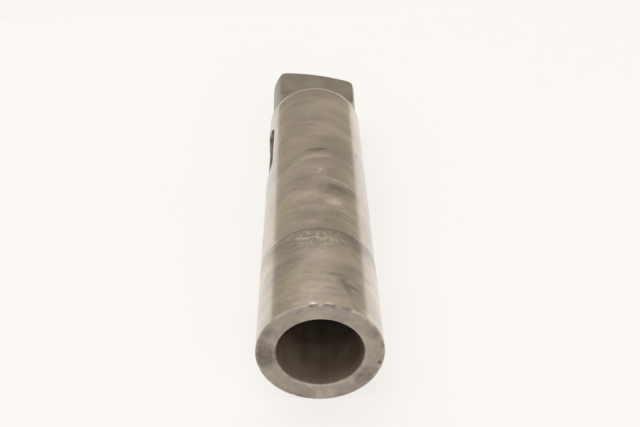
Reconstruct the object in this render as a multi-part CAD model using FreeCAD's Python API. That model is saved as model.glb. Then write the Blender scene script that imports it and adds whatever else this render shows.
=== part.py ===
import FreeCAD, Part
import math
import os

from FreeCAD import Vector

# A tapered reducing sleeve for drills and reamers, turned, milled and ground from one bar.
# Millimetres. The origin is the centre of the mouth face, and +Z runs along the axis to the tang.
# The drift slot goes through along X, and the tang's two flats face -Y and +Y.

# Outside taper, a Morse 5 shank: its diameter at the gauge plane and its change per millimetre
SHANK_GAUGE_DIAMETER = 44.399
SHANK_TAPER = 1 / 19.002
MOUTH_TO_GAUGE_PLANE = 21.5

# Seat: the machine spindle has worn it a little below the ground cone that stays outside
SEAT_START = 43.2
SEAT_WEAR = 0.1
SEAT_RUN_IN = 0.5

# Small end of the cone: a short lead and a rounded shoulder
LEAD_LENGTH = 2.5
LEAD_DROP = 0.6
SHOULDER_ROUND = 0.5

# Tang: a turned stub with two milled flats, which run out short of the shoulder
TANG_LENGTH = 27.0
TANG_DIAMETER = 35.5
TANG_THICKNESS = 15.9
CUTTER_RADIUS = 10.0
RUN_OUT_LAND = 0.6
TANG_CROWN_RADIUS = 60.0
TANG_CORNER_RADIUS = 3.0
TANG_EDGE_BREAK = 0.4

# Turning centre in the tang's end
CENTRE_DIAMETER = 8.5
CENTRE_PILOT_DIAMETER = 4.0
CENTRE_PILOT_DEPTH = 9.0
CENTRE_ANGLE = 60.0

# Socket, a Morse 4 bore that ends in a drilled relief bore
SOCKET_MOUTH_DIAMETER = 31.267
SOCKET_TAPER = 1 / 19.254
SOCKET_CONE_LENGTH = 91.8
DRILL_TIP_ANGLE = 118.0

# Drift slot, which crosses the axis where the inner tool's tang ends
SLOT_START = 98.0
SLOT_LENGTH = 32.0
SLOT_WIDTH = 12.2
SLOT_EDGE_BREAK = 0.4
RELIEF_INTO_SLOT = 9.0
SLOT_TO_SHOULDER = 14.0

# Edge breaks at the mouth
MOUTH_OUTER_BREAK = 0.4
MOUTH_INNER_BREAK = 0.5

# How far a cutting solid runs past the metal, and how close two places count as one
OVERCUT = 1.0
SAME_PLACE = 0.01

# Heights that follow from the sizes above
SLOT_END = SLOT_START + SLOT_LENGTH
BODY_END = SLOT_END + SLOT_TO_SHOULDER
OVERALL_LENGTH = BODY_END + TANG_LENGTH


def shank_radius(z):
    """Radius of the ground outside cone at the height z."""
    return (SHANK_GAUGE_DIAMETER + (MOUTH_TO_GAUGE_PLANE - z) * SHANK_TAPER) / 2


def socket_radius(z):
    """Radius of the socket's cone at the height z."""
    return (SOCKET_MOUTH_DIAMETER - z * SOCKET_TAPER) / 2


def half_angle(angle):
    """Half of a cone's full angle, in radians."""
    return math.radians(angle / 2)


def profile_point(radius, z):
    """A point of a turned profile, drawn in the XZ plane."""
    return Vector(radius, 0, z)


def line(start, end):
    return Part.LineSegment(start, end).toShape()


def arc_about(centre, start, end):
    """The short arc about a centre from start to end, in the plane of the three points."""
    towards_middle = (start - centre) + (end - centre)
    middle = centre + towards_middle.normalize() * (start - centre).Length
    return Part.Arc(start, middle, end).toShape()


def polyline(points):
    return [line(start, end) for start, end in zip(points, points[1:])]


def turned(edges):
    """The solid that a closed profile sweeps about the axis."""
    face = Part.Face(Part.Wire(edges))
    return face.revolve(Vector(0, 0, 0), Vector(0, 0, 1), 360)


def small_end_edges():
    """The lead and the rounded shoulder at the small end of the cone, in to the axis."""
    lead_start = BODY_END - LEAD_LENGTH
    seat_edge = profile_point(shank_radius(lead_start) - SEAT_WEAR, lead_start)
    corner_radius = seat_edge.x - LEAD_DROP
    lean = math.atan(LEAD_DROP / LEAD_LENGTH)
    setback = SHOULDER_ROUND * math.tan((math.pi / 2 - lean) / 2)
    round_start = profile_point(corner_radius + setback * math.sin(lean), BODY_END - setback * math.cos(lean))
    round_end = profile_point(corner_radius - setback, BODY_END)
    round_centre = profile_point(round_end.x, BODY_END - SHOULDER_ROUND)
    edges = [
        line(seat_edge, round_start),
        arc_about(round_centre, round_start, round_end),
        line(round_end, profile_point(0, BODY_END)),
    ]
    return seat_edge, edges


def turned_body():
    """The ground cone from the mouth face to the shoulder, with its worn seat."""
    seat_start = SEAT_START + SEAT_RUN_IN
    seat_edge, small_end = small_end_edges()
    outside = [
        profile_point(0, BODY_END),
        profile_point(0, 0),
        profile_point(shank_radius(0) - MOUTH_OUTER_BREAK, 0),
        profile_point(shank_radius(MOUTH_OUTER_BREAK), MOUTH_OUTER_BREAK),
        profile_point(shank_radius(SEAT_START), SEAT_START),
        profile_point(shank_radius(seat_start) - SEAT_WEAR, seat_start),
        seat_edge,
    ]
    return turned(polyline(outside) + small_end)


def turned_tang(root_z):
    """The round stub of the tang, with its rounded corner and crowned end, before milling."""
    tang_radius = TANG_DIAMETER / 2
    centre_rim = profile_point(CENTRE_DIAMETER / 2, OVERALL_LENGTH)
    crown_rise = math.sqrt(TANG_CROWN_RADIUS ** 2 - centre_rim.x ** 2)
    crown_centre = profile_point(0, OVERALL_LENGTH - crown_rise)
    corner_x = tang_radius - TANG_CORNER_RADIUS
    corner_reach = TANG_CROWN_RADIUS - TANG_CORNER_RADIUS
    corner_rise = math.sqrt(corner_reach ** 2 - corner_x ** 2)
    corner_centre = crown_centre + profile_point(corner_x, corner_rise)
    side_top = corner_centre + profile_point(TANG_CORNER_RADIUS, 0)
    outward = (corner_centre - crown_centre).normalize()
    crown_edge = crown_centre + outward * TANG_CROWN_RADIUS
    round_end = [arc_about(corner_centre, side_top, crown_edge), arc_about(crown_centre, crown_edge, centre_rim)]
    axis_top = profile_point(0, OVERALL_LENGTH)
    axis_root = profile_point(0, root_z)
    rest = polyline([centre_rim, axis_top, axis_root, profile_point(tang_radius, root_z), side_top])
    return turned(round_end + rest)


def flat_cut(flat_end):
    """What the cutter takes off the tang's +Y side: the flat and its quarter-round run-out."""
    flat_y = TANG_THICKNESS / 2
    top = OVERALL_LENGTH + OVERCUT
    far_y = max(TANG_DIAMETER / 2, flat_y + CUTTER_RADIUS) + OVERCUT
    reach = TANG_DIAMETER / 2 + OVERCUT
    cutter_centre = Vector(-reach, flat_y + CUTTER_RADIUS, flat_end)
    flat_root = cutter_centre - Vector(0, CUTTER_RADIUS, 0)
    run_out_end = cutter_centre - Vector(0, 0, CUTTER_RADIUS)
    outline = polyline([
        run_out_end,
        Vector(-reach, far_y, run_out_end.z),
        Vector(-reach, far_y, top),
        Vector(-reach, flat_y, top),
        flat_root,
    ])
    outline.append(arc_about(cutter_centre, flat_root, run_out_end))
    return Part.Face(Part.Wire(outline)).extrude(Vector(2 * reach, 0, 0))


def flat_rim_edges(tang):
    """The edges of the two flats, which the run-outs and the end continue smoothly."""
    rim = []
    for edge in tang.Edges:
        offset = abs(abs(edge.CenterOfMass.y) - TANG_THICKNESS / 2)
        if offset < SAME_PLACE and edge.BoundBox.YLength < SAME_PLACE:
            rim.append(edge)
    return rim


def tang():
    """The milled tang, whose root reaches down into the body."""
    flat_end = BODY_END + RUN_OUT_LAND + CUTTER_RADIUS
    near_cut = flat_cut(flat_end)
    far_cut = near_cut.rotated(Vector(0, 0, 0), Vector(0, 0, 1), 180)
    milled = turned_tang(BODY_END - CUTTER_RADIUS).cut([near_cut, far_cut])
    return milled.makeChamfer(TANG_EDGE_BREAK, flat_rim_edges(milled))


def relief_radius():
    """Radius of the relief bore, which the socket's cone runs out into."""
    return socket_radius(SOCKET_CONE_LENGTH)


def socket():
    """The tapered bore with its mouth break, the relief bore and the drill's point."""
    relief_end = SLOT_START + RELIEF_INTO_SLOT
    tip = relief_end + relief_radius() / math.tan(half_angle(DRILL_TIP_ANGLE))
    points = [
        profile_point(0, -OVERCUT),
        profile_point(socket_radius(0) + MOUTH_INNER_BREAK + OVERCUT, -OVERCUT),
        profile_point(socket_radius(MOUTH_INNER_BREAK), MOUTH_INNER_BREAK),
        profile_point(relief_radius(), SOCKET_CONE_LENGTH),
        profile_point(relief_radius(), relief_end),
        profile_point(0, tip),
    ]
    return turned(polyline(points + points[:1]))


def drift_slot():
    """The round-ended slot milled through both walls."""
    reach = shank_radius(0) + OVERCUT
    radius = SLOT_WIDTH / 2
    low = SLOT_START + radius
    high = SLOT_END - radius
    low_near = Vector(-reach, -radius, low)
    low_far = Vector(-reach, radius, low)
    high_near = Vector(-reach, -radius, high)
    high_far = Vector(-reach, radius, high)
    outline = [
        line(low_far, high_far),
        Part.Arc(high_far, Vector(-reach, 0, high + radius), high_near).toShape(),
        line(high_near, low_near),
        Part.Arc(low_near, Vector(-reach, 0, low - radius), low_far).toShape(),
    ]
    return Part.Face(Part.Wire(outline)).extrude(Vector(2 * reach, 0, 0))


def turning_centre():
    """The 60 degree centre and its pilot, drilled down from the tang's end."""
    cone_radius = CENTRE_DIAMETER / 2
    pilot_radius = CENTRE_PILOT_DIAMETER / 2
    cone_depth = (cone_radius - pilot_radius) / math.tan(half_angle(CENTRE_ANGLE))
    tip_depth = CENTRE_PILOT_DEPTH + pilot_radius / math.tan(half_angle(DRILL_TIP_ANGLE))
    points = [
        profile_point(0, OVERALL_LENGTH + OVERCUT),
        profile_point(cone_radius, OVERALL_LENGTH + OVERCUT),
        profile_point(cone_radius, OVERALL_LENGTH),
        profile_point(pilot_radius, OVERALL_LENGTH - cone_depth),
        profile_point(pilot_radius, OVERALL_LENGTH - CENTRE_PILOT_DEPTH),
        profile_point(0, OVERALL_LENGTH - tip_depth),
    ]
    return turned(polyline(points + points[:1]))


def slot_rim_edges(sleeve):
    """The edges where the slot's walls meet the outside cone."""
    mid_wall = (relief_radius() + shank_radius(SLOT_END)) / 2
    rim = []
    for edge in sleeve.Edges:
        box = edge.BoundBox
        within_slot = box.ZMin > SLOT_START - OVERCUT and box.ZMax < SLOT_END + OVERCUT
        if within_slot and min(abs(box.XMin), abs(box.XMax)) > mid_wall:
            rim.append(edge)
    return rim


def taper_sleeve():
    outside = turned_body().fuse(tang()).removeSplitter()
    bored = outside.cut([socket(), drift_slot(), turning_centre()])
    return bored.makeChamfer(SLOT_EDGE_BREAK, slot_rim_edges(bored)).Solids[0]


def main():
    os.makedirs("parts", exist_ok=True)
    sleeve = taper_sleeve()
    sleeve.exportStep("parts/taper_sleeve.step")
    print("taper_sleeve", sleeve.ShapeType, "valid", sleeve.isValid(), "solids", len(sleeve.Solids))
    print("volume mm3", round(sleeve.Volume, 1), "box", sleeve.BoundBox)


main()
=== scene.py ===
import math
import random

import bpy
from mathutils import Matrix, Vector


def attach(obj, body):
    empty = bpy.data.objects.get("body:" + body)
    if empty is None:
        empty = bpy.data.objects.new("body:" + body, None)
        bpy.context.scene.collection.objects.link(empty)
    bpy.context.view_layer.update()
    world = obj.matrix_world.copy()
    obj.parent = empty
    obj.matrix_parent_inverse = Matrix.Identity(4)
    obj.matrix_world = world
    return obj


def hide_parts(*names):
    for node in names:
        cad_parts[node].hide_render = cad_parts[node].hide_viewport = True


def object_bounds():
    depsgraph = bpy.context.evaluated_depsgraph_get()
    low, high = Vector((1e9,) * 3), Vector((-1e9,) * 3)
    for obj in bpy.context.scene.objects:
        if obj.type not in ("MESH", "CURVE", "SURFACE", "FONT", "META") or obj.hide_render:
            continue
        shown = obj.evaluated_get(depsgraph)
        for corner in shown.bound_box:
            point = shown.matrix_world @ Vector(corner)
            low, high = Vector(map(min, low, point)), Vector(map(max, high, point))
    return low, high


# A worn tapered reducing sleeve, standing on its mouth face in a pale studio. Metres throughout.
# Azimuths are in degrees about the axis, from -Y towards +X.

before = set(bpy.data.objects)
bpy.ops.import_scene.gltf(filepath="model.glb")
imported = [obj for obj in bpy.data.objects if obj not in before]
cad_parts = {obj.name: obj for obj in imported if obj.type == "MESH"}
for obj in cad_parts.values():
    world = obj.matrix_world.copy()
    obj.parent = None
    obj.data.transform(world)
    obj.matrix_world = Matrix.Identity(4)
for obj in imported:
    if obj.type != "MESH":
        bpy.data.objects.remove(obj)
cad_low, cad_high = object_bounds()

MM = 0.001

# Outside taper and its worn seat
MOUTH_RADIUS = cad_high.x
TAPER_PER_METRE = 1 / 19.002 / 2
SEAT_START = 43.2 * MM
SEAT_WEAR = 0.1 * MM
SEAT_RUN_IN = 0.5 * MM
MOUTH_OUTER_BREAK = 0.4 * MM
MOUTH_RADIUS_AT_FACE = MOUTH_RADIUS + MOUTH_OUTER_BREAK * TAPER_PER_METRE
MOUTH_INNER_BREAK = 0.5 * MM
SOCKET_BREAK_WIDTH = 0.48 * MM

# Small end and tang
OVERALL_LENGTH = cad_high.z
TANG_LENGTH = 27.0 * MM
BODY_END = OVERALL_LENGTH - TANG_LENGTH
LEAD_LENGTH = 2.5 * MM
LEAD_DROP = 0.6 * MM
SHOULDER_ROUND = 0.5 * MM
TANG_RADIUS = 17.75 * MM
TANG_THICKNESS = 15.9 * MM
CUTTER_RADIUS = 10.0 * MM
RUN_OUT_LAND = 0.6 * MM
TANG_EDGE_SOFTNESS = 0.5 * MM
CROWN_RADIUS = 60.0 * MM
CORNER_RADIUS = 3.0 * MM

# Turning centre
CENTRE_RADIUS = 4.25 * MM
PILOT_RADIUS = 2.0 * MM
PILOT_DEPTH = 9.0 * MM
CENTRE_HALF_ANGLE = math.radians(30)
DRILL_HALF_ANGLE = math.radians(59)

# Socket and drift slot
SOCKET_MOUTH_RADIUS = 31.267 / 2 * MM
SOCKET_TAPER_PER_METRE = 1 / 19.254 / 2
SOCKET_CONE_LENGTH = 91.8 * MM
RELIEF_END = 107.0 * MM
SLOT_START = 98.0 * MM
SLOT_LENGTH = 32.0 * MM
SLOT_WIDTH = 12.2 * MM
SLOT_EDGE_BREAK = 0.45 * MM

# Mesh fineness
SEGMENTS = 300
OUTSIDE_STEP = 0.72 * MM
BORE_STEP = 4.5 * MM
BORE_FINE_SHARE = 0.1
SHARP_EDGE_ANGLE = math.radians(28)

# Dents
DENT_REACH_IN = 2.0 * MM
SCATTERED_DENTS = 26
DENT_SEED = 5

# Edge wear grows from the first angle between faces to the second, in radians, and spreads this many points
WORN_EDGE_ANGLES = (0.25, 0.7)
WEAR_SPREAD = 2

# Zones of the surface, one finish each
TAPER_ZONE, FACE_ZONE, BORE_ZONE, TANG_ZONE, SLOT_ZONE = range(5)


# ---------------------------------------------------------------- node helpers

def add(tree, kind, inputs=None, **settings):
    """A node with its settings. Each input is a constant or another node's output socket."""
    node = tree.nodes.new(kind)
    for name, value in settings.items():
        setattr(node, name, value)
    for key, value in (inputs or {}).items():
        if isinstance(value, bpy.types.NodeSocket):
            tree.links.new(value, node.inputs[key])
        else:
            node.inputs[key].default_value = value
    return node


def maths(tree, operation, *values, clamp=False):
    """The result of a Math node on one to three values."""
    node = add(tree, "ShaderNodeMath", dict(enumerate(values)), operation=operation, use_clamp=clamp)
    return node.outputs[0]


def vector_maths(tree, operation, *values, result="Vector"):
    node = add(tree, "ShaderNodeVectorMath", dict(enumerate(values)), operation=operation)
    return node.outputs[result]


def map_range(tree, value, low, high, to_low=0.0, to_high=1.0, smooth=False):
    """The value mapped from low..high to to_low..to_high, clamped."""
    kind = "SMOOTHSTEP" if smooth else "LINEAR"
    inputs = {"Value": value, "From Min": low, "From Max": high, "To Min": to_low, "To Max": to_high}
    return add(tree, "ShaderNodeMapRange", inputs, interpolation_type=kind).outputs["Result"]


def new_socket(tree, name, in_out, kind, default=None):
    socket = tree.interface.new_socket(name=name, in_out=in_out, socket_type="NodeSocket" + kind)
    if default is not None:
        socket.default_value = default
    return socket


def carried(tree, name, kind="FLOAT"):
    """A named attribute of the geometry, as a field."""
    node = add(tree, "GeometryNodeInputNamedAttribute", {"Name": name}, data_type=kind)
    return node.outputs["Attribute"]


def stored(tree, mesh, name, value, domain, kind="FLOAT"):
    """The geometry with a field kept in a named attribute."""
    inputs = {"Geometry": mesh, "Name": name, "Value": value}
    node = add(tree, "GeometryNodeStoreNamedAttribute", inputs, data_type=kind, domain=domain)
    return node.outputs["Geometry"]


# ---------------------------------------------------------------- profile

def straight(start, end, step):
    """Points from start up to, but not at, end, no further apart than step."""
    count = max(1, math.ceil((end - start).length / step))
    return [start.lerp(end, i / count) for i in range(count)]


def arc(centre, radius, start, end, count):
    """Points of an arc in the profile's plane; angles in radians from the outward direction."""
    points = []
    for i in range(count):
        angle = start + (end - start) * i / count
        points.append(centre + Vector((math.cos(angle), math.sin(angle))) * radius)
    return points


def shank_radius(z):
    return MOUTH_RADIUS_AT_FACE - z * TAPER_PER_METRE


def inner_break():
    """Where the socket's cone ends and the break at its mouth starts."""
    radius = SOCKET_MOUTH_RADIUS - MOUTH_INNER_BREAK * SOCKET_TAPER_PER_METRE
    return Vector((radius, MOUTH_INNER_BREAK))


def bore_profile():
    """From the drill's tip on the axis, down the socket, to its mouth."""
    relief = SOCKET_MOUTH_RADIUS - SOCKET_CONE_LENGTH * SOCKET_TAPER_PER_METRE
    tip = Vector((0, RELIEF_END + relief / math.tan(DRILL_HALF_ANGLE)))
    relief_top = Vector((relief, RELIEF_END))
    cone_top = Vector((relief, SOCKET_CONE_LENGTH))
    near_mouth = inner_break().lerp(cone_top, BORE_FINE_SHARE)
    corners = [tip, relief_top, cone_top, near_mouth]
    points = []
    for start, end in zip(corners, corners[1:]):
        points += straight(start, end, BORE_STEP)
    return points + straight(near_mouth, inner_break(), OUTSIDE_STEP)


def face_profile():
    """The mouth's inner break, its flat face and its outer break."""
    inner_edge = Vector((SOCKET_MOUTH_RADIUS + SOCKET_BREAK_WIDTH, 0))
    outer_edge = Vector((MOUTH_RADIUS - MOUTH_OUTER_BREAK, 0))
    outer_break = Vector((MOUTH_RADIUS, MOUTH_OUTER_BREAK))
    points = straight(inner_break(), inner_edge, OUTSIDE_STEP / 2)
    points += straight(inner_edge, outer_edge, OUTSIDE_STEP)
    return points + straight(outer_edge, outer_break, OUTSIDE_STEP / 2)


def taper_profile():
    """The outside cone with its worn seat, the lead and the rounded shoulder."""
    seat_end = SEAT_START + SEAT_RUN_IN
    lead_start = BODY_END - LEAD_LENGTH
    lead_radius = shank_radius(lead_start) - SEAT_WEAR
    corner_radius = lead_radius - LEAD_DROP
    corners = [
        Vector((MOUTH_RADIUS, MOUTH_OUTER_BREAK)),
        Vector((shank_radius(SEAT_START), SEAT_START)),
        Vector((shank_radius(seat_end) - SEAT_WEAR, seat_end)),
        Vector((lead_radius, lead_start)),
        Vector((corner_radius, BODY_END - SHOULDER_ROUND)),
    ]
    points = []
    for start, end in zip(corners, corners[1:]):
        points += straight(start, end, OUTSIDE_STEP)
    round_centre = Vector((corner_radius - SHOULDER_ROUND, BODY_END - SHOULDER_ROUND))
    points += arc(round_centre, SHOULDER_ROUND, 0, math.pi / 2, 4)
    return points + [Vector((corner_radius - SHOULDER_ROUND, BODY_END))]


def tang_profile():
    """The round side of the tang, its corner, the crowned end and the turning centre."""
    crown_centre = Vector((0, OVERALL_LENGTH - math.sqrt(CROWN_RADIUS ** 2 - CENTRE_RADIUS ** 2)))
    corner_x = TANG_RADIUS - CORNER_RADIUS
    corner_rise = math.sqrt((CROWN_RADIUS - CORNER_RADIUS) ** 2 - corner_x ** 2)
    corner_centre = crown_centre + Vector((corner_x, corner_rise))
    crown_start = math.atan2(corner_rise, corner_x)
    crown_end = math.acos(CENTRE_RADIUS / CROWN_RADIUS)
    side_top = corner_centre + Vector((CORNER_RADIUS, 0))
    cone_depth = (CENTRE_RADIUS - PILOT_RADIUS) / math.tan(CENTRE_HALF_ANGLE)
    cone_end = Vector((PILOT_RADIUS, OVERALL_LENGTH - cone_depth))
    pilot_end = Vector((PILOT_RADIUS, OVERALL_LENGTH - PILOT_DEPTH))
    tip = Vector((0, pilot_end.y - PILOT_RADIUS / math.tan(DRILL_HALF_ANGLE)))
    points = straight(Vector((TANG_RADIUS, BODY_END)), side_top, OUTSIDE_STEP)
    points += arc(corner_centre, CORNER_RADIUS, 0, crown_start, 8)
    points += arc(crown_centre, CROWN_RADIUS, crown_start, crown_end, 18)
    points += straight(Vector((CENTRE_RADIUS, OVERALL_LENGTH)), cone_end, 1.2 * MM)
    return points + [cone_end, pilot_end, tip]


def profile_mesh():
    """The turned profile as loose points in the XZ plane, each with the zone of the strip after it."""
    zones = [
        (bore_profile(), BORE_ZONE),
        (face_profile(), FACE_ZONE),
        (taper_profile(), TAPER_ZONE),
        (tang_profile(), TANG_ZONE),
    ]
    points = []
    labels = []
    for part, zone in zones:
        points += [(p.x, 0, p.y) for p in part]
        labels += [zone] * len(part)
    mesh = bpy.data.meshes.new("profile")
    mesh.from_pydata(points, [], [])
    mesh.attributes.new("zone", "INT", "POINT").data.foreach_set("value", labels)
    return mesh


# ---------------------------------------------------------------- drift slot

def slot_outline(widening):
    """The slot's round-ended outline, widened by a margin, as (y, z) points."""
    radius = SLOT_WIDTH / 2
    steps = 24
    outline = []
    for centre_z, first in ((SLOT_START + SLOT_LENGTH - radius, 0), (SLOT_START + radius, math.pi)):
        for i in range(steps + 1):
            angle = first + math.pi * i / steps
            reach = radius + widening
            outline.append(Vector((math.cos(angle) * reach, centre_z + math.sin(angle) * reach)))
    return outline


def slot_cutter():
    """The solid that the slot takes out: it flares at both ends, along the cone, to break the edges."""
    inner = slot_outline(0)
    flared = slot_outline(2 * SLOT_EDGE_BREAK)
    clear = MOUTH_RADIUS + 2 * MM

    def ring(outline, side, beyond):
        """The outline wrapped on one side of the worn cone, moved outwards."""
        points = []
        for p in outline:
            surface = math.sqrt((shank_radius(p.y) - SEAT_WEAR) ** 2 - p.x ** 2)
            points.append((side * (surface + beyond), p.x, p.y))
        return points

    far_left, far_right = [[(side * clear, p.x, p.y) for p in flared] for side in (-1, 1)]
    rings = [
        far_left,
        ring(flared, -1, SLOT_EDGE_BREAK),
        ring(inner, -1, -SLOT_EDGE_BREAK),
        ring(inner, 1, -SLOT_EDGE_BREAK),
        ring(flared, 1, SLOT_EDGE_BREAK),
        far_right,
    ]
    count = len(inner)
    last = (len(rings) - 1) * count
    faces = [list(range(count))[::-1], [last + i for i in range(count)]]
    for low in range(0, last, count):
        for i in range(count):
            j = (i + 1) % count
            faces.append([low + i, low + j, low + count + j, low + count + i])
    mesh = bpy.data.meshes.new("slot_cutter")
    mesh.from_pydata([p for points in rings for p in points], [], faces)
    mesh.attributes.new("zone", "INT", "FACE").data.foreach_set("value", [SLOT_ZONE] * len(faces))
    return mesh


# ---------------------------------------------------------------- dents

def dent(azimuth, height, length, width, depth, lean=0, tip=0):
    """A dent: its place on the outside, its half sizes, and the lean of its length from the level.

    tip leans the push direction from the side (0) to the mouth face (90).
    """
    around = math.radians(azimuth)
    out = Vector((math.sin(around), -math.cos(around), 0))
    level = Vector((math.cos(around), math.sin(around), 0))
    lean = math.radians(lean)
    tip = math.radians(tip)
    return {
        "place": out * shank_radius(height * MM) + Vector((0, 0, height * MM)),
        "push": out * -math.cos(tip) + Vector((0, 0, math.sin(tip))),
        "along": level * math.cos(lean) + Vector((0, 0, math.sin(lean))),
        "size": Vector((length * MM, width * MM, depth * MM)),
    }


def dents():
    """The nicks and dents that show, and smaller ones scattered over the outside."""
    found = [
        # azimuth, height, half length, half width, depth
        dent(-13.0, 94.6, 3.6, 0.75, 0.16, lean=10),
        dent(-7.0, 81.0, 1.5, 0.7, 0.14, lean=-60),
        dent(29.0, 31.2, 2.6, 0.6, 0.10, lean=-28),
        dent(-15.5, 0.2, 1.5, 0.7, 0.22, tip=45),
        dent(-1.0, 0.2, 2.2, 0.7, 0.18, tip=45),
        dent(14.5, 0.2, 2.0, 0.7, 0.20, tip=45),
        dent(24.0, 2.4, 1.6, 0.7, 0.10, lean=-30),
        dent(104.0, 0.2, 0.9, 0.7, 0.14, tip=45),
        dent(-118.0, 0.2, 0.8, 0.7, 0.12, tip=45),
        dent(196.0, 0.3, 1.0, 0.8, 0.14, tip=45),
    ]
    chance = random.Random(DENT_SEED)
    for _ in range(SCATTERED_DENTS):
        found.append(dent(
            chance.uniform(-180, 180), chance.uniform(4, 138), chance.uniform(0.7, 2.2),
            chance.uniform(0.6, 0.9), chance.uniform(0.04, 0.10), lean=chance.uniform(-60, 60)))
    return found


def dent_mesh():
    """The dents as points that carry their direction, length and size."""
    found = dents()
    mesh = bpy.data.meshes.new("dents")
    mesh.from_pydata([d["place"] for d in found], [], [])
    for name in ("push", "along", "size"):
        values = [component for d in found for component in d[name]]
        mesh.attributes.new(name, "FLOAT_VECTOR", "POINT").data.foreach_set("vector", values)
    return mesh


# ---------------------------------------------------------------- the sleeve's tree

def lathe(tree, profile, segments):
    """A grid with one row for each profile point, wound about the axis and closed."""
    size = add(tree, "GeometryNodeAttributeDomainSize", {"Geometry": profile}, component="MESH")
    columns = maths(tree, "ADD", segments, 1)
    rows = size.outputs["Point Count"]
    grid = add(tree, "GeometryNodeMeshGrid", {"Vertices X": rows, "Vertices Y": columns}).outputs["Mesh"]
    index = add(tree, "GeometryNodeInputIndex").outputs[0]
    row = maths(tree, "FLOOR", maths(tree, "DIVIDE", maths(tree, "ADD", index, 0.5), columns))
    column = maths(tree, "SUBTRACT", index, maths(tree, "MULTIPLY", row, columns))
    angle = maths(tree, "DIVIDE", maths(tree, "MULTIPLY", column, math.tau), segments)
    place = add(tree, "GeometryNodeInputPosition").outputs[0]
    sampled = add(tree, "GeometryNodeSampleIndex", {"Geometry": profile, "Value": place, "Index": row},
                  data_type="FLOAT_VECTOR")
    drawn = add(tree, "ShaderNodeSeparateXYZ", {0: sampled.outputs[0]})
    wound = add(tree, "ShaderNodeCombineXYZ", {
        "X": maths(tree, "MULTIPLY", drawn.outputs["X"], maths(tree, "COSINE", angle)),
        "Y": maths(tree, "MULTIPLY", drawn.outputs["X"], maths(tree, "SINE", angle)),
        "Z": drawn.outputs["Z"],
    })
    turned = add(tree, "GeometryNodeSetPosition", {"Geometry": grid, "Position": wound.outputs[0]}).outputs[0]
    strip = maths(tree, "FLOOR", maths(tree, "DIVIDE", maths(tree, "ADD", index, 0.5), segments))
    label = carried(tree, "zone", "INT")
    zone = add(tree, "GeometryNodeSampleIndex", {"Geometry": profile, "Value": label, "Index": strip},
               data_type="INT").outputs[0]
    named = stored(tree, turned, "zone", zone, "FACE", "INT")
    return add(tree, "GeometryNodeMergeByDistance", {"Geometry": named, "Distance": 1e-7}).outputs[0]


def milled_flats(tree, mesh, thickness, flat_start, cutter, softness):
    """The two flats and their quarter-round run-outs: what stands proud of the cut is brought in to it."""
    place = add(tree, "ShaderNodeSeparateXYZ", {0: add(tree, "GeometryNodeInputPosition").outputs[0]})
    x, y, z = place.outputs
    below = maths(tree, "MAXIMUM", maths(tree, "SUBTRACT", flat_start, z), 0.0)
    below = maths(tree, "MINIMUM", below, cutter)
    squares = maths(tree, "SUBTRACT", maths(tree, "POWER", cutter, 2.0), maths(tree, "POWER", below, 2.0))
    lift = maths(tree, "SUBTRACT", cutter, maths(tree, "SQRT", squares))
    half = maths(tree, "ADD", maths(tree, "MULTIPLY", thickness, 0.5), lift)
    cut = add(tree, "ShaderNodeMath", {0: maths(tree, "ABSOLUTE", y), 1: half, 2: softness},
              operation="SMOOTH_MIN").outputs[0]
    moved = add(tree, "ShaderNodeCombineXYZ", {
        "X": x, "Y": maths(tree, "MULTIPLY", cut, maths(tree, "SIGN", y)), "Z": z})
    in_cut = maths(tree, "GREATER_THAN", z, maths(tree, "SUBTRACT", flat_start, cutter))
    return add(tree, "GeometryNodeSetPosition",
               {"Geometry": mesh, "Selection": in_cut, "Position": moved.outputs[0]}).outputs[0]


def pressed_dents(tree, mesh, marks):
    """Each dent in turn pushes the surface in, and leaves its depth in the dent attribute."""
    start = tree.nodes.new("GeometryNodeRepeatInput")
    end = tree.nodes.new("GeometryNodeRepeatOutput")
    start.pair_with_output(end)
    count = add(tree, "GeometryNodeAttributeDomainSize", {"Geometry": marks}, component="MESH")
    tree.links.new(count.outputs["Point Count"], start.inputs["Iterations"])
    tree.links.new(mesh, start.inputs["Geometry"])
    turn = start.outputs["Iteration"]
    here = add(tree, "GeometryNodeInputPosition").outputs[0]

    def sample(value):
        inputs = {"Geometry": marks, "Value": value, "Index": turn}
        return add(tree, "GeometryNodeSampleIndex", inputs, data_type="FLOAT_VECTOR").outputs[0]

    push, along, sizes = [sample(carried(tree, name, "FLOAT_VECTOR")) for name in ("push", "along", "size")]
    size = add(tree, "ShaderNodeSeparateXYZ", {0: sizes}).outputs
    offset = vector_maths(tree, "SUBTRACT", here, sample(here))
    across = vector_maths(tree, "CROSS_PRODUCT", push, along)
    total = None
    for axis, half_size in ((along, size[0]), (across, size[1]), (push, DENT_REACH_IN)):
        distance = vector_maths(tree, "DOT_PRODUCT", offset, axis, result="Value")
        share = maths(tree, "ABSOLUTE", maths(tree, "DIVIDE", distance, half_size))
        square = maths(tree, "POWER", share, 2.0)
        total = square if total is None else maths(tree, "ADD", total, square)
    fall_off = maths(tree, "EXPONENT", maths(tree, "MULTIPLY", total, -1.0))
    shift = add(tree, "ShaderNodeVectorMath",
                {0: push, "Scale": maths(tree, "MULTIPLY", size[2], fall_off)}, operation="SCALE")
    deeper = maths(tree, "MAXIMUM", carried(tree, "dent"), fall_off)
    named = stored(tree, start.outputs["Geometry"], "dent", deeper, "POINT")
    moved = add(tree, "GeometryNodeSetPosition", {"Geometry": named, "Offset": shift.outputs[0]})
    tree.links.new(moved.outputs[0], end.inputs["Geometry"])
    return end.outputs["Geometry"]


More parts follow.
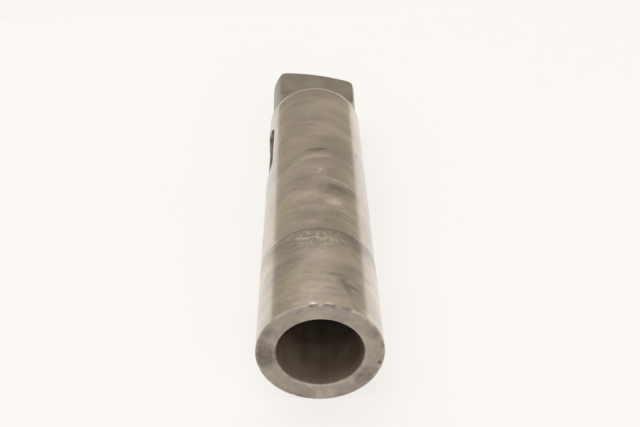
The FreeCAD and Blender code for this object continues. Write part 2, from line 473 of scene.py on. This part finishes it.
def edge_mask(tree, mesh):
    """The share of wear at every edge, from how sharply the faces meet, spread a little."""
    angle = add(tree, "GeometryNodeInputMeshEdgeAngle").outputs["Unsigned Angle"]
    sharp = map_range(tree, angle, *WORN_EDGE_ANGLES)
    marked = stored(tree, mesh, "edge", sharp, "EDGE")
    spread = add(tree, "GeometryNodeBlurAttribute",
                 {"Value": carried(tree, "edge"), "Iterations": WEAR_SPREAD}, data_type="FLOAT").outputs[0]
    doubled = maths(tree, "MULTIPLY", spread, 2.0, clamp=True)
    return stored(tree, marked, "edge", doubled, "POINT")


SLEEVE_SIZES = {
    "Tang Thickness": TANG_THICKNESS,
    "Flat Start": BODY_END + RUN_OUT_LAND + CUTTER_RADIUS,
    "Cutter Radius": CUTTER_RADIUS,
    "Edge Softness": TANG_EDGE_SOFTNESS,
}


def sleeve_tree(finishes):
    """The sleeve from its profile: wound, milled, dented, slotted, and finished zone by zone."""
    tree = bpy.data.node_groups.new("tapered_sleeve", "GeometryNodeTree")
    new_socket(tree, "Profile", "INPUT", "Geometry")
    new_socket(tree, "Segments", "INPUT", "Int", 64)
    for name in SLEEVE_SIZES:
        new_socket(tree, name, "INPUT", "Float")
    new_socket(tree, "Slot Cutter", "INPUT", "Object")
    new_socket(tree, "Dents", "INPUT", "Object")
    new_socket(tree, "Sleeve", "OUTPUT", "Geometry")
    given = tree.nodes.new("NodeGroupInput").outputs
    mesh = lathe(tree, given["Profile"], given["Segments"])
    mesh = milled_flats(tree, mesh, *[given[name] for name in SLEEVE_SIZES])
    marks = add(tree, "GeometryNodeObjectInfo", {"Object": given["Dents"]}).outputs["Geometry"]
    mesh = pressed_dents(tree, mesh, marks)
    cutter = add(tree, "GeometryNodeObjectInfo", {"Object": given["Slot Cutter"]}).outputs["Geometry"]
    slotted = add(tree, "GeometryNodeMeshBoolean", {"Mesh 1": mesh}, operation="DIFFERENCE", solver="EXACT")
    tree.links.new(cutter, slotted.inputs["Mesh 2"])
    mesh = edge_mask(tree, slotted.outputs["Mesh"])
    for number, finish in enumerate(finishes):
        chosen = maths(tree, "COMPARE", carried(tree, "zone", "INT"), number, 0.5)
        mesh = add(tree, "GeometryNodeSetMaterial",
                   {"Geometry": mesh, "Selection": chosen, "Material": finish}).outputs[0]
    smooth = add(tree, "GeometryNodeSetShadeSmooth", {"Geometry": mesh, "Shade Smooth": True})
    real = add(tree, "GeometryNodeRealizeInstances", {"Geometry": smooth.outputs[0]})
    tree.links.new(real.outputs[0], tree.nodes.new("NodeGroupOutput").inputs["Sleeve"])
    return tree


def linked(name, mesh):
    made = bpy.data.objects.new(name, mesh)
    bpy.context.scene.collection.objects.link(made)
    return made


def make_sleeve(finishes):
    """Evaluates the tree once and keeps its result as a plain mesh."""
    tree = sleeve_tree(finishes)
    sleeve = linked("worn_taper_sleeve", profile_mesh())
    helpers = {"Slot Cutter": linked("slot_cutter", slot_cutter()), "Dents": linked("dents", dent_mesh())}
    modifier = sleeve.modifiers.new("sleeve", "NODES")
    modifier.node_group = tree
    values = {"Segments": SEGMENTS, **SLEEVE_SIZES, **helpers}
    for item in tree.interface.items_tree:
        if item.in_out == "INPUT" and item.name in values:
            modifier[item.identifier] = values[item.name]
    evaluated = sleeve.evaluated_get(bpy.context.evaluated_depsgraph_get())
    mesh = bpy.data.meshes.new_from_object(evaluated)
    sleeve.modifiers.remove(modifier)
    sleeve.data = mesh
    mesh.name = "worn_taper_sleeve"
    mesh.materials.pop(index=0)
    mesh.set_sharp_from_angle(angle=SHARP_EDGE_ANGLE)
    for helper in helpers.values():
        bpy.data.objects.remove(helper)
    return sleeve


# ---------------------------------------------------------------- finish effects

def effect(name, inputs, output, kind="Float"):
    """An empty shader group with named inputs and one output: its tree, its inputs, and how to end it."""
    tree = bpy.data.node_groups.new(name, "ShaderNodeTree")
    for label, socket_kind, default in inputs:
        new_socket(tree, label, "INPUT", socket_kind, default)
    new_socket(tree, output, "OUTPUT", kind)
    given = tree.nodes.new("NodeGroupInput").outputs
    end = tree.nodes.new("NodeGroupOutput")
    return tree, given, end.inputs[output]


def sized_place(tree, given, size):
    """The place measured in sizes."""
    inverse = maths(tree, "DIVIDE", 1.0, given[size])
    node = add(tree, "ShaderNodeVectorMath", {0: given["Place"], "Scale": inverse}, operation="SCALE")
    return node.outputs[0]


def clouds_effect():
    """Soft cloudy patches of a given size, stretched along any axis."""
    inputs = [("Place", "Vector", None), ("Size", "Float", 0.01), ("Stretch", "Vector", (1, 1, 1)),
              ("Shift", "Vector", (0, 0, 0)), ("Detail", "Float", 3.0), ("Low", "Float", 0.35),
              ("High", "Float", 0.65)]
    tree, given, end = effect("clouds", inputs, "Mask")
    sized = sized_place(tree, given, "Size")
    spread = vector_maths(tree, "MULTIPLY_ADD", sized, given["Stretch"], given["Shift"])
    noise = add(tree, "ShaderNodeTexNoise", {"Vector": spread, "Scale": 1.0, "Detail": given["Detail"]})
    mask = map_range(tree, noise.outputs["Fac"], given["Low"], given["High"], smooth=True)
    tree.links.new(mask, end)
    return tree


def smudge_effect():
    """One mark on the round surface: a ragged oval, turned to its azimuth and leaning from the level."""
    inputs = [("Place", "Vector", None), ("Centre", "Vector", (0, 0, 0)), ("Azimuth", "Float", 0.0),
              ("Lean", "Float", 0.0), ("Size", "Vector", (1, 1, 1)), ("Softness", "Float", 0.5),
              ("Ragged", "Float", 0.3), ("Grain", "Float", 0.002)]
    tree, given, end = effect("smudge", inputs, "Mask")
    offset = vector_maths(tree, "SUBTRACT", given["Place"], given["Centre"])
    faced = add(tree, "ShaderNodeVectorRotate", {
        "Vector": offset, "Angle": maths(tree, "MULTIPLY", given["Azimuth"], -1.0)}, rotation_type="Z_AXIS")
    leaned = add(tree, "ShaderNodeVectorRotate", {"Vector": faced.outputs[0], "Angle": given["Lean"]},
                 rotation_type="Y_AXIS")
    scaled = vector_maths(tree, "DIVIDE", leaned.outputs[0], given["Size"])
    far = vector_maths(tree, "LENGTH", scaled, result="Value")
    grain = sized_place(tree, given, "Grain")
    noise = add(tree, "ShaderNodeTexNoise", {"Vector": grain, "Scale": 1.0, "Detail": 3.0})
    swing = maths(tree, "MULTIPLY", maths(tree, "SUBTRACT", noise.outputs["Fac"], 0.5), 4.0)
    ragged = maths(tree, "MULTIPLY_ADD", swing, given["Ragged"], far)
    inside = maths(tree, "SUBTRACT", 1.0, given["Softness"])
    mask = map_range(tree, ragged, inside, maths(tree, "ADD", 1.0, given["Softness"]), 1.0, 0.0, smooth=True)
    tree.links.new(mask, end)
    return tree


def worn_edges_effect():
    """Where the edges are rubbed bright, broken up by a fine grain."""
    inputs = [("Place", "Vector", None), ("Amount", "Float", 1.0)]
    tree, given, end = effect("worn_edges", inputs, "Mask")
    edge = add(tree, "ShaderNodeAttribute", attribute_name="edge").outputs["Fac"]
    noise = add(tree, "ShaderNodeTexNoise", {"Vector": given["Place"], "Scale": 420.0, "Detail": 4.0})
    broken = map_range(tree, noise.outputs["Fac"], 0.35, 0.62)
    rubbed = maths(tree, "MULTIPLY", map_range(tree, edge, 0.15, 0.8), broken)
    tree.links.new(maths(tree, "MULTIPLY", rubbed, given["Amount"], clamp=True), end)
    return tree


def fine_pits_effect():
    """Small round pits, set apart in cells of a given size: 1 in a pit and 0 between them."""
    inputs = [("Place", "Vector", None), ("Size", "Float", 0.002), ("Width", "Float", 0.3),
              ("Share", "Float", 0.5)]
    tree, given, end = effect("fine_pits", inputs, "Mask")
    cells = add(tree, "ShaderNodeTexVoronoi", {"Vector": sized_place(tree, given, "Size"), "Scale": 1.0})
    near = map_range(tree, cells.outputs["Distance"], 0.0, given["Width"], 1.0, 0.0, smooth=True)
    chance = add(tree, "ShaderNodeSeparateXYZ", {0: cells.outputs["Color"]}).outputs["X"]
    kept = maths(tree, "LESS_THAN", chance, given["Share"])
    tree.links.new(maths(tree, "MULTIPLY", near, kept), end)
    return tree


EFFECTS = {
    "clouds": clouds_effect(),
    "smudge": smudge_effect(),
    "worn_edges": worn_edges_effect(),
    "fine_pits": fine_pits_effect(),
}


def object_place(tree):
    """The material's own Object coordinates, from one node in each material."""
    node = tree.nodes.get("object_place") or add(tree, "ShaderNodeTexCoord", name="object_place")
    return node.outputs["Object"]


def placed(tree, name, **inputs):
    """An effect placed in a material, with its values; the material's Object coordinates are its Place."""
    node = add(tree, "ShaderNodeGroup", node_tree=EFFECTS[name])
    tree.links.new(object_place(tree), node.inputs["Place"])
    for key, value in inputs.items():
        socket = node.inputs[key.replace("_", " ").capitalize()]
        if isinstance(value, bpy.types.NodeSocket):
            tree.links.new(value, socket)
        else:
            socket.default_value = value
    return node.outputs[0]


def mark(tree, azimuth, height, length, width, lean=0, radius=None, depth=6,
         softness=0.5, ragged=0.3, grain=2.0):
    """A smudge on the outside, or at a radius. Its height, half sizes and grain are in millimetres."""
    around = math.radians(azimuth)
    out = shank_radius(height * MM) if radius is None else radius * MM
    centre = (math.sin(around) * out, -math.cos(around) * out, height * MM)
    size = (length * MM, depth * MM, width * MM)
    return placed(tree, "smudge", centre=centre, azimuth=around, lean=math.radians(lean), size=size,
                  softness=softness, ragged=ragged, grain=grain * MM)


def blended(tree, share, first, second, blend="MIX"):
    """Two colours mixed; each is a colour or an output socket."""
    node = tree.nodes.new("ShaderNodeMix")
    node.data_type = "RGBA"
    node.blend_type = blend
    for socket, value in ((node.inputs[0], share), (node.inputs[6], first), (node.inputs[7], second)):
        if isinstance(value, bpy.types.NodeSocket):
            tree.links.new(value, socket)
        else:
            socket.default_value = value if isinstance(value, float) else (*value, 1)
    return node.outputs[2]


def stained(tree, color, mask, share, stain):
    """The colour with a share of a stain where the mask is."""
    return blended(tree, maths(tree, "MULTIPLY", mask, share), color, stain)


def scaled_color(tree, color, tone):
    """A colour made lighter or darker by a factor."""
    node = add(tree, "ShaderNodeVectorMath", {0: color, "Scale": tone}, operation="SCALE")
    return node.outputs[0]


def bump(tree, height, distance, normal=None):
    """A bump of a real depth in metres for a height of 0 to 1, over an earlier normal if there is one."""
    inputs = {"Height": height, "Distance": distance, "Strength": 1.0}
    if normal is not None:
        inputs["Normal"] = normal
    return add(tree, "ShaderNodeBump", inputs).outputs["Normal"]


def summed(tree, base, terms):
    """The base plus each mask times its weight."""
    total = base
    for mask, weight in terms:
        total = maths(tree, "MULTIPLY_ADD", mask, weight, total)
    return total


def finish(name, roughness=0.4, metallic=1.0):
    """A new steel material: itself, its tree and its shader."""
    material = bpy.data.materials.new(name)
    material.use_nodes = True
    shader = material.node_tree.nodes["Principled BSDF"]
    shader.inputs["Metallic"].default_value = metallic
    shader.inputs["Roughness"].default_value = roughness
    return material, material.node_tree, shader


def connect(tree, shader, **sockets):
    for name, value in sockets.items():
        tree.links.new(value, shader.inputs[name.replace("_", " ").title()])


# ---------------------------------------------------------------- finishes

WARM_STEEL = (0.635, 0.58, 0.505)
COOL_STEEL = (0.59, 0.535, 0.495)
OLIVE_STEEL = (0.615, 0.58, 0.445)
BARE_STEEL = (0.76, 0.72, 0.66)
OLD_OIL = (0.15, 0.135, 0.095)
BROWN_DIRT = (0.30, 0.235, 0.17)
FACED_STEEL = [(0.475, 0.41, 0.365), (0.475, 0.42, 0.355)]
BORE_GRIME = [(0.175, 0.128, 0.092), (0.20, 0.155, 0.118)]
TANG_STEEL = [(0.39, 0.355, 0.29), (0.375, 0.35, 0.30)]
TANG_EDGE = (0.60, 0.57, 0.51)
SLOT_GRIME = [(0.20, 0.165, 0.12), (0.25, 0.215, 0.165)]

# Marks on the outside: azimuth, height, half length round, half width up, lean, and how far they lighten
TONE_MARKS = [
    (-11, 91.0, 5.5, 0.8, 8, 0.12),
    (-30, 88.0, 4.5, 0.9, 16, 0.14),
    (-22, 66.0, 6.0, 1.4, 22, 0.12),
    (20, 20.0, 3.0, 4.0, -30, -0.10),
    (-20, 12.0, 9.0, 1.2, -6, 0.12),
    (13, 27.0, 5.0, 3.0, 20, 0.08),
    # Painted reflection: these two lighten the front zone near the mouth on the side facing the camera.
    (-14, 20, 8, 13, 0, 0.16),
    (-9, 5.0, 14, 5, 0, 0.22),
    (-48, 30, 8, 12, 0, -0.12),
    (26, 30, 8, 12, 0, -0.10),
    (-8, 10.8, 14, 1.0, 0, 0.10),
    (3, 6.2, 8, 0.9, 0, -0.10),
    (-31, 27.4, 4.5, 2.0, 0, -0.14),
    (8.5, 61.0, 3.6, 1.9, -6, 0.30),
    (11, 62.2, 2.0, 1.3, -20, 0.22),
    (4.5, 60.2, 3.2, 1.2, 0, 0.20),
    (9, 66.2, 6.5, 1.6, -8, -0.22),
    (4, 54.6, 4.0, 2.0, 0, -0.16),
    (14, 70.8, 8.5, 3.6, 0, -0.24),
    (14, 80.5, 4.5, 4.5, -30, -0.20),
    (17, 75.8, 7.5, 1.0, -10, 0.18),
    (22, 54.5, 5.0, 0.6, -22, -0.20),
    (24, 51.5, 5.0, 0.6, -22, -0.18),
    (-34, 65, 7, 6, 20, 0.10),
    (-12, 91.5, 8, 1.8, 12, 0.16),
    (-9, 96.0, 4.5, 0.8, 10, -0.36),
    (-6.5, 81, 0.9, 1.9, -16, 0.42),
    (26, 111, 9, 2.4, -22, 0.14),
    (-16, 114.5, 2.5, 0.8, 0, -0.14),
    (18, 100, 10, 9, 0, -0.10),
    (0, 132, 14, 4, 0, 0.08),
    (115, 60, 9, 14, 20, -0.14),
    (150, 110, 8, 9, -15, -0.12),
    (-120, 30, 12, 6, 0, 0.14),
    (-140, 85, 8, 12, 10, -0.12),
    (75, 20, 10, 6, 8, 0.10),
]

# Old oil that has dried on the outside: azimuth, height, half length, half width, lean
OIL_MARKS = [
    (5.5, 17.4, 4.6, 1.3, 0),
    (14, 12.6, 5.8, 1.3, -68),
    (21, 12.6, 3.8, 1.0, -8),
    (10, 71, 4.2, 2.2, 0),
    (95, 96, 6, 2.0, 30),
    (-100, 58, 5, 2.2, -20),
]


# Marks on the mouth face: azimuth, distance out, half length round, half length out, and how far they lighten
RING_MARKS = [
    (-101, 19.8, 6.0, 4.5, -0.26),
    (-72, 21.4, 6.0, 1.8, -0.16),
    (112, 19.6, 5.0, 3.6, -0.26),
    (49, 20.8, 3.5, 2.4, -0.18),
    (93, 21.5, 0.8, 0.7, -0.45),
    (70, 22.2, 1.6, 0.6, -0.30),
    (-165, 22.0, 12, 0.9, -0.16),
    (146, 22.0, 7.0, 0.9, -0.14),
    (172, 19.4, 1.0, 2.6, 0.14),
    (160, 18.6, 0.8, 1.8, 0.12),
    # Painted shade: these three are dark dashes over the nicks along the top edge of the face.
    (-16, 22.6, 1.9, 0.8, -0.50),
    (-0.5, 22.6, 2.6, 0.8, -0.46),
    (14.5, 22.6, 2.4, 0.8, -0.44),
]


# Olive tints on the outside: azimuth, height, half length, half width
OLIVE_MARKS = [(-44, 57, 5, 7), (-52, 10, 5, 5), (-38, 12, 6, 3), (30, 108, 4, 6)]


def height_of(tree):
    return add(tree, "ShaderNodeSeparateXYZ", {0: object_place(tree)}).outputs["Z"]


def unworn_collar(tree, bands):
    """The grimy band below the worn seat: it ends sharply at the seat and fades towards the mouth."""
    z = height_of(tree)
    fading = maths(tree, "MULTIPLY_ADD", bands, 5 * MM, z)
    low = map_range(tree, fading, 35 * MM, 42 * MM, smooth=True)
    high = map_range(tree, z, SEAT_START, SEAT_START + SEAT_RUN_IN, 1.0, 0.0)
    return maths(tree, "MULTIPLY", low, high)


def ground_taper():
    """The ground outside, worn by years of handling: cloudy bands round it, stains, scuffs and rubbed edges.
    """
    material, tree, shader = finish("ground_taper")
    bands = placed(tree, "clouds", size=9 * MM, stretch=(0.35, 0.35, 1.7), detail=4.0, low=0.30, high=0.70)
    patches = placed(tree, "clouds", size=17 * MM, shift=(3, 8, 1), detail=3.0, low=0.30, high=0.70)
    wiped = placed(tree, "clouds", size=8 * MM, stretch=(0.5, 0.5, 1.4), shift=(9, 1, 4), detail=6.0)
    mottle = placed(tree, "clouds", size=1.6 * MM, detail=4.0, low=0.25, high=0.75)
    rings = placed(tree, "clouds", size=0.35 * MM, stretch=(0.02, 0.02, 1.0), detail=2.0, low=0.2, high=0.8)
    tone = summed(tree, 0.76, [(bands, 0.16), (patches, 0.12), (wiped, 0.08), (mottle, 0.07), (rings, 0.05)])
    for azimuth, height, length, width, lean, lighter in TONE_MARKS:
        softness, ragged, grain = (0.4, 0.35, 1.6) if min(length, width) < 2 else (0.55, 0.28, 3.0)
        spot = mark(tree, azimuth, height, length, width, lean, softness=softness, ragged=ragged, grain=grain)
        tone = maths(tree, "MULTIPLY_ADD", spot, lighter, tone)
    struck = mark(tree, -12, 38.5, 12, 5.0, softness=0.7, ragged=0.25)
    grimy = maths(tree, "SUBTRACT", unworn_collar(tree, bands), struck, clamp=True)
    lead = map_range(tree, height_of(tree), BODY_END - LEAD_LENGTH, BODY_END - LEAD_LENGTH * 0.7)
    above = map_range(tree, height_of(tree), SEAT_START, SEAT_START + 1.2 * MM, 1.0, 0.0)
    on_seat = maths(tree, "GREATER_THAN", height_of(tree), SEAT_START - 0.1 * MM)
    step = maths(tree, "MULTIPLY", above, on_seat)
    tone = summed(tree, tone, [(grimy, -0.30), (step, -0.22), (lead, 0.36)])
    hue = placed(tree, "clouds", size=24 * MM, shift=(5, 2, 7), detail=2.0, low=0.35, high=0.65)
    olive = placed(tree, "clouds", size=12 * MM, shift=(1, 6, 3), detail=3.0, low=0.52, high=0.70)
    color = blended(tree, hue, WARM_STEEL, COOL_STEEL)
    for azimuth, height, length, width in OLIVE_MARKS:
        olive = maths(tree, "MAXIMUM", olive, mark(tree, azimuth, height, length, width, softness=0.8))
    color = stained(tree, color, olive, 0.7, OLIVE_STEEL)
    color = scaled_color(tree, color, tone)
    oil = None
    for azimuth, height, length, width, lean in OIL_MARKS:
        spot = mark(tree, azimuth, height, length, width, lean, softness=0.75, ragged=0.34, grain=2.2)
        oil = spot if oil is None else maths(tree, "MAXIMUM", oil, spot)
    color = stained(tree, color, oil, 0.66, OLD_OIL)
    worked = placed(tree, "clouds", size=1.5 * MM, shift=(2, 2, 6), detail=3.0, low=0.42, high=0.66)
    pits = maths(tree, "MULTIPLY", struck, worked)
    specks = placed(tree, "fine_pits", size=3.4 * MM, width=0.10, share=0.35)
    color = scaled_color(tree, color, maths(tree, "MULTIPLY_ADD", pits, 0.24, 1.0))
    color = scaled_color(tree, color, maths(tree, "MULTIPLY_ADD", struck, -0.10, 1.0))
    color = stained(tree, color, specks, 0.5, BROWN_DIRT)
    dent = add(tree, "ShaderNodeAttribute", attribute_name="dent").outputs["Fac"]
    color = stained(tree, color, dent, 0.35, BROWN_DIRT)
    rubbed = placed(tree, "worn_edges", amount=0.7)
    color = blended(tree, rubbed, color, BARE_STEEL)
    rough = summed(tree, 0.16, [(wiped, 0.05), (mottle, 0.03), (oil, 0.16), (patches, 0.04), (pits, 0.1)])
    metal = summed(tree, 1.0, [(oil, -0.12), (specks, -0.4)])
    normal = bump(tree, rings, 0.004 * MM)
    normal = bump(tree, mottle, 0.006 * MM, normal)
    normal = bump(tree, maths(tree, "MULTIPLY_ADD", pits, 0.4, specks), -0.03 * MM, normal)
    connect(tree, shader, base_color=color, roughness=rough, metallic=metal, normal=normal)
    return material


def mouth_face():
    """The faced ring at the mouth: matt, with turning marks round it and dirt in patches."""
    material, tree, shader = finish("mouth_face")
    flat = add(tree, "ShaderNodeSeparateXYZ", {0: object_place(tree)}).outputs
    level = add(tree, "ShaderNodeCombineXYZ", {"X": flat["X"], "Y": flat["Y"]}).outputs[0]
    radius = vector_maths(tree, "LENGTH", level, result="Value")
    turned = add(tree, "ShaderNodeTexNoise", {"W": radius, "Scale": 4200.0, "Detail": 2.0},
                 noise_dimensions="1D")
    patches = placed(tree, "clouds", size=9 * MM, shift=(2, 5, 0), detail=4.0, low=0.32, high=0.68)
    mottle = placed(tree, "clouds", size=1.8 * MM, detail=5.0, low=0.25, high=0.75)
    tone = summed(tree, 0.64, [(patches, 0.20), (mottle, 0.16), (turned.outputs["Fac"], 0.10)])
    for azimuth, out, length, depth, lighter in RING_MARKS:
        grain = 2.0 if depth < 2 else 4.0
        spot = mark(tree, azimuth, 0, length, 6, radius=out, depth=depth, ragged=0.35, grain=grain)
        tone = maths(tree, "MULTIPLY_ADD", spot, lighter, tone)
    color = blended(tree, patches, *FACED_STEEL)
    color = scaled_color(tree, color, tone)
    specks = placed(tree, "fine_pits", size=3.0 * MM, width=0.14, share=0.3)
    color = stained(tree, color, specks, 0.6, BROWN_DIRT)
    rubbed = placed(tree, "worn_edges", amount=0.5)
    color = blended(tree, rubbed, color, BARE_STEEL)
    rough = summed(tree, 0.44, [(mottle, 0.10), (specks, 0.08)])
    normal = bump(tree, turned.outputs["Fac"], 0.008 * MM)
    normal = bump(tree, mottle, 0.02 * MM, normal)
    connect(tree, shader, base_color=color, roughness=rough, normal=normal)
    return material


def socket_bore():
    """The bore: darkened steel with brown dirt, streaks where shanks have slid, and painted light that
    brightens it towards the mouth while the deeper part stays in painted shade.
    """
    material, tree, shader = finish("socket_bore", metallic=0.3)
    streaks = placed(tree, "clouds", size=3 * MM, stretch=(1.0, 1.0, 0.08), detail=4.0)
    patches = placed(tree, "clouds", size=11 * MM, shift=(7, 3, 2), detail=4.0)
    # Painted light near the mouth: the bore is painted brighter within about 20 mm of the mouth and brighter
    # again in its first few millimetres, leaving painted shade deeper in.
    deep = maths(tree, "MULTIPLY_ADD", patches, 4 * MM, height_of(tree))
    lit_near_mouth = map_range(tree, deep, 19 * MM, 24 * MM, 1.0, 0.0, smooth=True)
    mouth = map_range(tree, deep, 1 * MM, 7 * MM, 1.0, 0.0)
    rub = mark(tree, 172, 16.5, 2.4, 1.8, radius=15.2)
    tone = summed(tree, 0.62, [(streaks, 0.12), (patches, 0.25), (lit_near_mouth, 0.42), (mouth, 0.5), (rub, 0.25)])
    color = blended(tree, patches, *BORE_GRIME)
    rubbed = placed(tree, "worn_edges", amount=0.6)
    color = blended(tree, rubbed, scaled_color(tree, color, tone), BARE_STEEL)
    rough = summed(tree, 0.5, [(streaks, 0.12)])
    connect(tree, shader, base_color=color, roughness=rough, normal=bump(tree, patches, 0.03 * MM))
    return material


def milled_tang():
    """The tang: milled flats gone dull and olive, with fine cutter marks across them."""
    material, tree, shader = finish("milled_tang")
    cutter = placed(tree, "clouds", size=0.5 * MM, stretch=(0.03, 1.0, 1.0), detail=2.0, low=0.2, high=0.8)
    patches = placed(tree, "clouds", size=8 * MM, shift=(4, 4, 9), detail=4.0, low=0.3, high=0.7)
    mottle = placed(tree, "clouds", size=1.5 * MM, detail=4.0, low=0.25, high=0.75)
    tone = summed(tree, 0.80, [(patches, 0.14), (mottle, 0.08), (cutter, 0.07)])
    color = blended(tree, patches, *TANG_STEEL)
    color = scaled_color(tree, color, tone)
    specks = placed(tree, "fine_pits", size=2.6 * MM, width=0.12, share=0.35)
    color = stained(tree, color, specks, 0.5, BROWN_DIRT)
    rubbed = placed(tree, "worn_edges", amount=0.8)
    color = blended(tree, rubbed, color, TANG_EDGE)
    rough = summed(tree, 0.36, [(patches, 0.08), (rubbed, -0.06)])
    normal = bump(tree, cutter, 0.006 * MM)
    normal = bump(tree, mottle, 0.015 * MM, normal)
    connect(tree, shader, base_color=color, roughness=rough, normal=normal)
    return material


def slot_wall():
    """The milled walls of the drift slot, brown with old dirt."""
    material, tree, shader = finish("slot_wall", metallic=0.7)
    patches = placed(tree, "clouds", size=5 * MM, shift=(1, 9, 5), detail=4.0)
    cutter = placed(tree, "clouds", size=0.6 * MM, stretch=(1.0, 0.3, 0.3), detail=2.0, low=0.2, high=0.8)
    color = blended(tree, patches, *SLOT_GRIME)
    rubbed = placed(tree, "worn_edges", amount=0.35)
    color = blended(tree, rubbed, color, BARE_STEEL)
    connect(tree, shader, base_color=color, roughness=summed(tree, 0.42, [(patches, 0.12)]),
            normal=bump(tree, cutter, 0.01 * MM))
    return material


# ---------------------------------------------------------------- stage

CAMERA_AZIMUTH = -10.6
CAMERA_ELEVATION = -52.4
CAMERA_DISTANCE = 0.555
CAMERA_ROLL = -1.55
CAMERA_LENS = 78.87
CAMERA_TARGET = Vector((1.3, 0, 80.6)) * MM

PALE = (0.947, 0.922, 0.896)
ROOM = (0.47, 0.42, 0.352)
FLOOR_GLOW = 0.75
BOARD_GLOW = 0.72
LIT_SHARE = 0.33
WORLD_LIGHT = 0.55

STAGE_REACH = 3.0
FLOOR_DROP = 0.05 * MM
BOARD_GAP = 0.1 * MM
BOARD_FOOT, BOARD_TOP = -1.0, 0.27
CEILING_HEIGHT = 2.6

# Lamps: name, azimuth, elevation, distance, size and power
SOFTBOXES = [
    ("overhead_softbox", -25, 10, 2.0, 2.2, 17.0),
    ("mouth_softbox", 10, -50, 1.6, 1.4, 6.0),
    ("back_softbox", 150, 35, 2.0, 2.0, 12.0),
]


def direction(azimuth, elevation):
    """The unit direction from the axis towards an azimuth and an elevation in degrees."""
    around, up = math.radians(azimuth), math.radians(elevation)
    return Vector((math.sin(around) * math.cos(up), -math.cos(around) * math.cos(up), math.sin(up)))


def make_camera():
    data = bpy.data.cameras.new("camera")
    data.lens = CAMERA_LENS
    data.sensor_width = 36.0
    data.clip_start = 0.01
    camera = linked("camera", data)
    away = direction(CAMERA_AZIMUTH, CAMERA_ELEVATION)
    camera.location = CAMERA_TARGET + away * CAMERA_DISTANCE
    turn = (-away).to_track_quat("-Z", "Y").to_matrix().to_4x4()
    roll = math.radians(CAMERA_ROLL)
    camera.matrix_world = Matrix.Translation(camera.location) @ turn @ Matrix.Rotation(roll, 4, "Z")
    bpy.context.scene.camera = camera


def seen_directly(tree):
    """1 for camera, glossy and transmitted rays, which all see the pale background."""
    path = tree.nodes.new("ShaderNodeLightPath").outputs
    either = maths(tree, "MAXIMUM", path["Is Camera Ray"], path["Is Glossy Ray"])
    return maths(tree, "MAXIMUM", either, path["Is Transmission Ray"])


def stage_material(name):
    """A new material with nothing but its output: itself, its tree and its surface."""
    material = bpy.data.materials.new(name)
    material.use_nodes = True
    tree = material.node_tree
    tree.nodes.clear()
    return material, tree, tree.nodes.new("ShaderNodeOutputMaterial").inputs["Surface"]


def pale_surface(name, glow):
    """A one-sided pale board: mostly its own tone, with a share that the lamps light and shade."""
    material, tree, surface = stage_material(name)
    lit = add(tree, "ShaderNodeBsdfDiffuse", {"Color": (*[c * LIT_SHARE for c in PALE], 1)})
    own = add(tree, "ShaderNodeEmission", {"Color": (*PALE, 1), "Strength": glow})
    front = add(tree, "ShaderNodeAddShader", {0: lit.outputs[0], 1: own.outputs[0]})
    clear = tree.nodes.new("ShaderNodeBsdfTransparent")
    behind = tree.nodes.new("ShaderNodeNewGeometry").outputs["Backfacing"]
    shown = add(tree, "ShaderNodeMixShader", {0: behind, 1: front.outputs[0], 2: clear.outputs[0]})
    tree.links.new(shown.outputs[0], surface)
    return material


def room_surface():
    material, tree, surface = stage_material("room_ceiling")
    own = add(tree, "ShaderNodeEmission", {"Color": (*ROOM, 1), "Strength": 1.0})
    tree.links.new(own.outputs[0], surface)
    return material


def panel(name, corners, material):
    """A flat four-cornered stage panel that casts no shadow and gives the sleeve no bounce light."""
    mesh = bpy.data.meshes.new(name)
    mesh.from_pydata(corners, [], [range(len(corners))])
    mesh.materials.append(material)
    made = linked(name, mesh)
    made.visible_shadow = False
    made.visible_diffuse = False
    return made


def level_square(height):
    return [(x * STAGE_REACH, y * STAGE_REACH, height) for x, y in ((-1, -1), (1, -1), (1, 1), (-1, 1))]


def make_stage():
    """A floor under the mouth face, a board that the cone touches along its side, and a ceiling."""
    panel("floor", level_square(-FLOOR_DROP), pale_surface("pale_floor", FLOOR_GLOW))
    back = direction(CAMERA_AZIMUTH + 180, 0)
    side = Vector((0, 0, 1)).cross(back)
    touch = back * (MOUTH_RADIUS_AT_FACE + BOARD_GAP)
    corners = []
    for across, height in ((1, BOARD_FOOT), (-1, BOARD_FOOT), (-1, BOARD_TOP), (1, BOARD_TOP)):
        along_cone = Vector((0, 0, height)) - back * height * TAPER_PER_METRE
        corners.append(touch + side * across * STAGE_REACH + along_cone)
    panel("board", corners, pale_surface("pale_board", BOARD_GLOW))
    ceiling = panel("ceiling", level_square(CEILING_HEIGHT)[::-1], room_surface())
    ceiling.visible_camera = False


def make_world():
    world = bpy.data.worlds.new("studio")
    bpy.context.scene.world = world
    world.use_nodes = True
    tree = world.node_tree
    tree.nodes.clear()
    strength = map_range(tree, seen_directly(tree), 0.0, 1.0, WORLD_LIGHT, 1.0)
    background = add(tree, "ShaderNodeBackground", {"Color": (*PALE, 1), "Strength": strength})
    output = tree.nodes.new("ShaderNodeOutputWorld")
    tree.links.new(background.outputs[0], output.inputs["Surface"])


def softbox(name, azimuth, elevation, distance, size, power):
    """A square lamp that faces the middle of the sleeve."""
    data = bpy.data.lights.new(name, "AREA")
    data.size = size
    data.energy = power
    lamp = linked(name, data)
    middle = Vector((0, 0, OVERALL_LENGTH / 2))
    away = direction(azimuth, elevation)
    lamp.location = middle + away * distance
    lamp.rotation_mode = "QUATERNION"
    lamp.rotation_quaternion = (-away).to_track_quat("-Z", "Y")


def make_lights():
    make_world()
    for lamp in SOFTBOXES:
        softbox(*lamp)


# ---------------------------------------------------------------- assembly

FINISHES = [ground_taper(), mouth_face(), socket_bore(), milled_tang(), slot_wall()]

sleeve = make_sleeve(FINISHES)
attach(sleeve, "root")
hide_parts("taper_sleeve")

make_stage()
make_lights()
make_camera()
bpy.context.scene.view_settings.view_transform = "Standard"
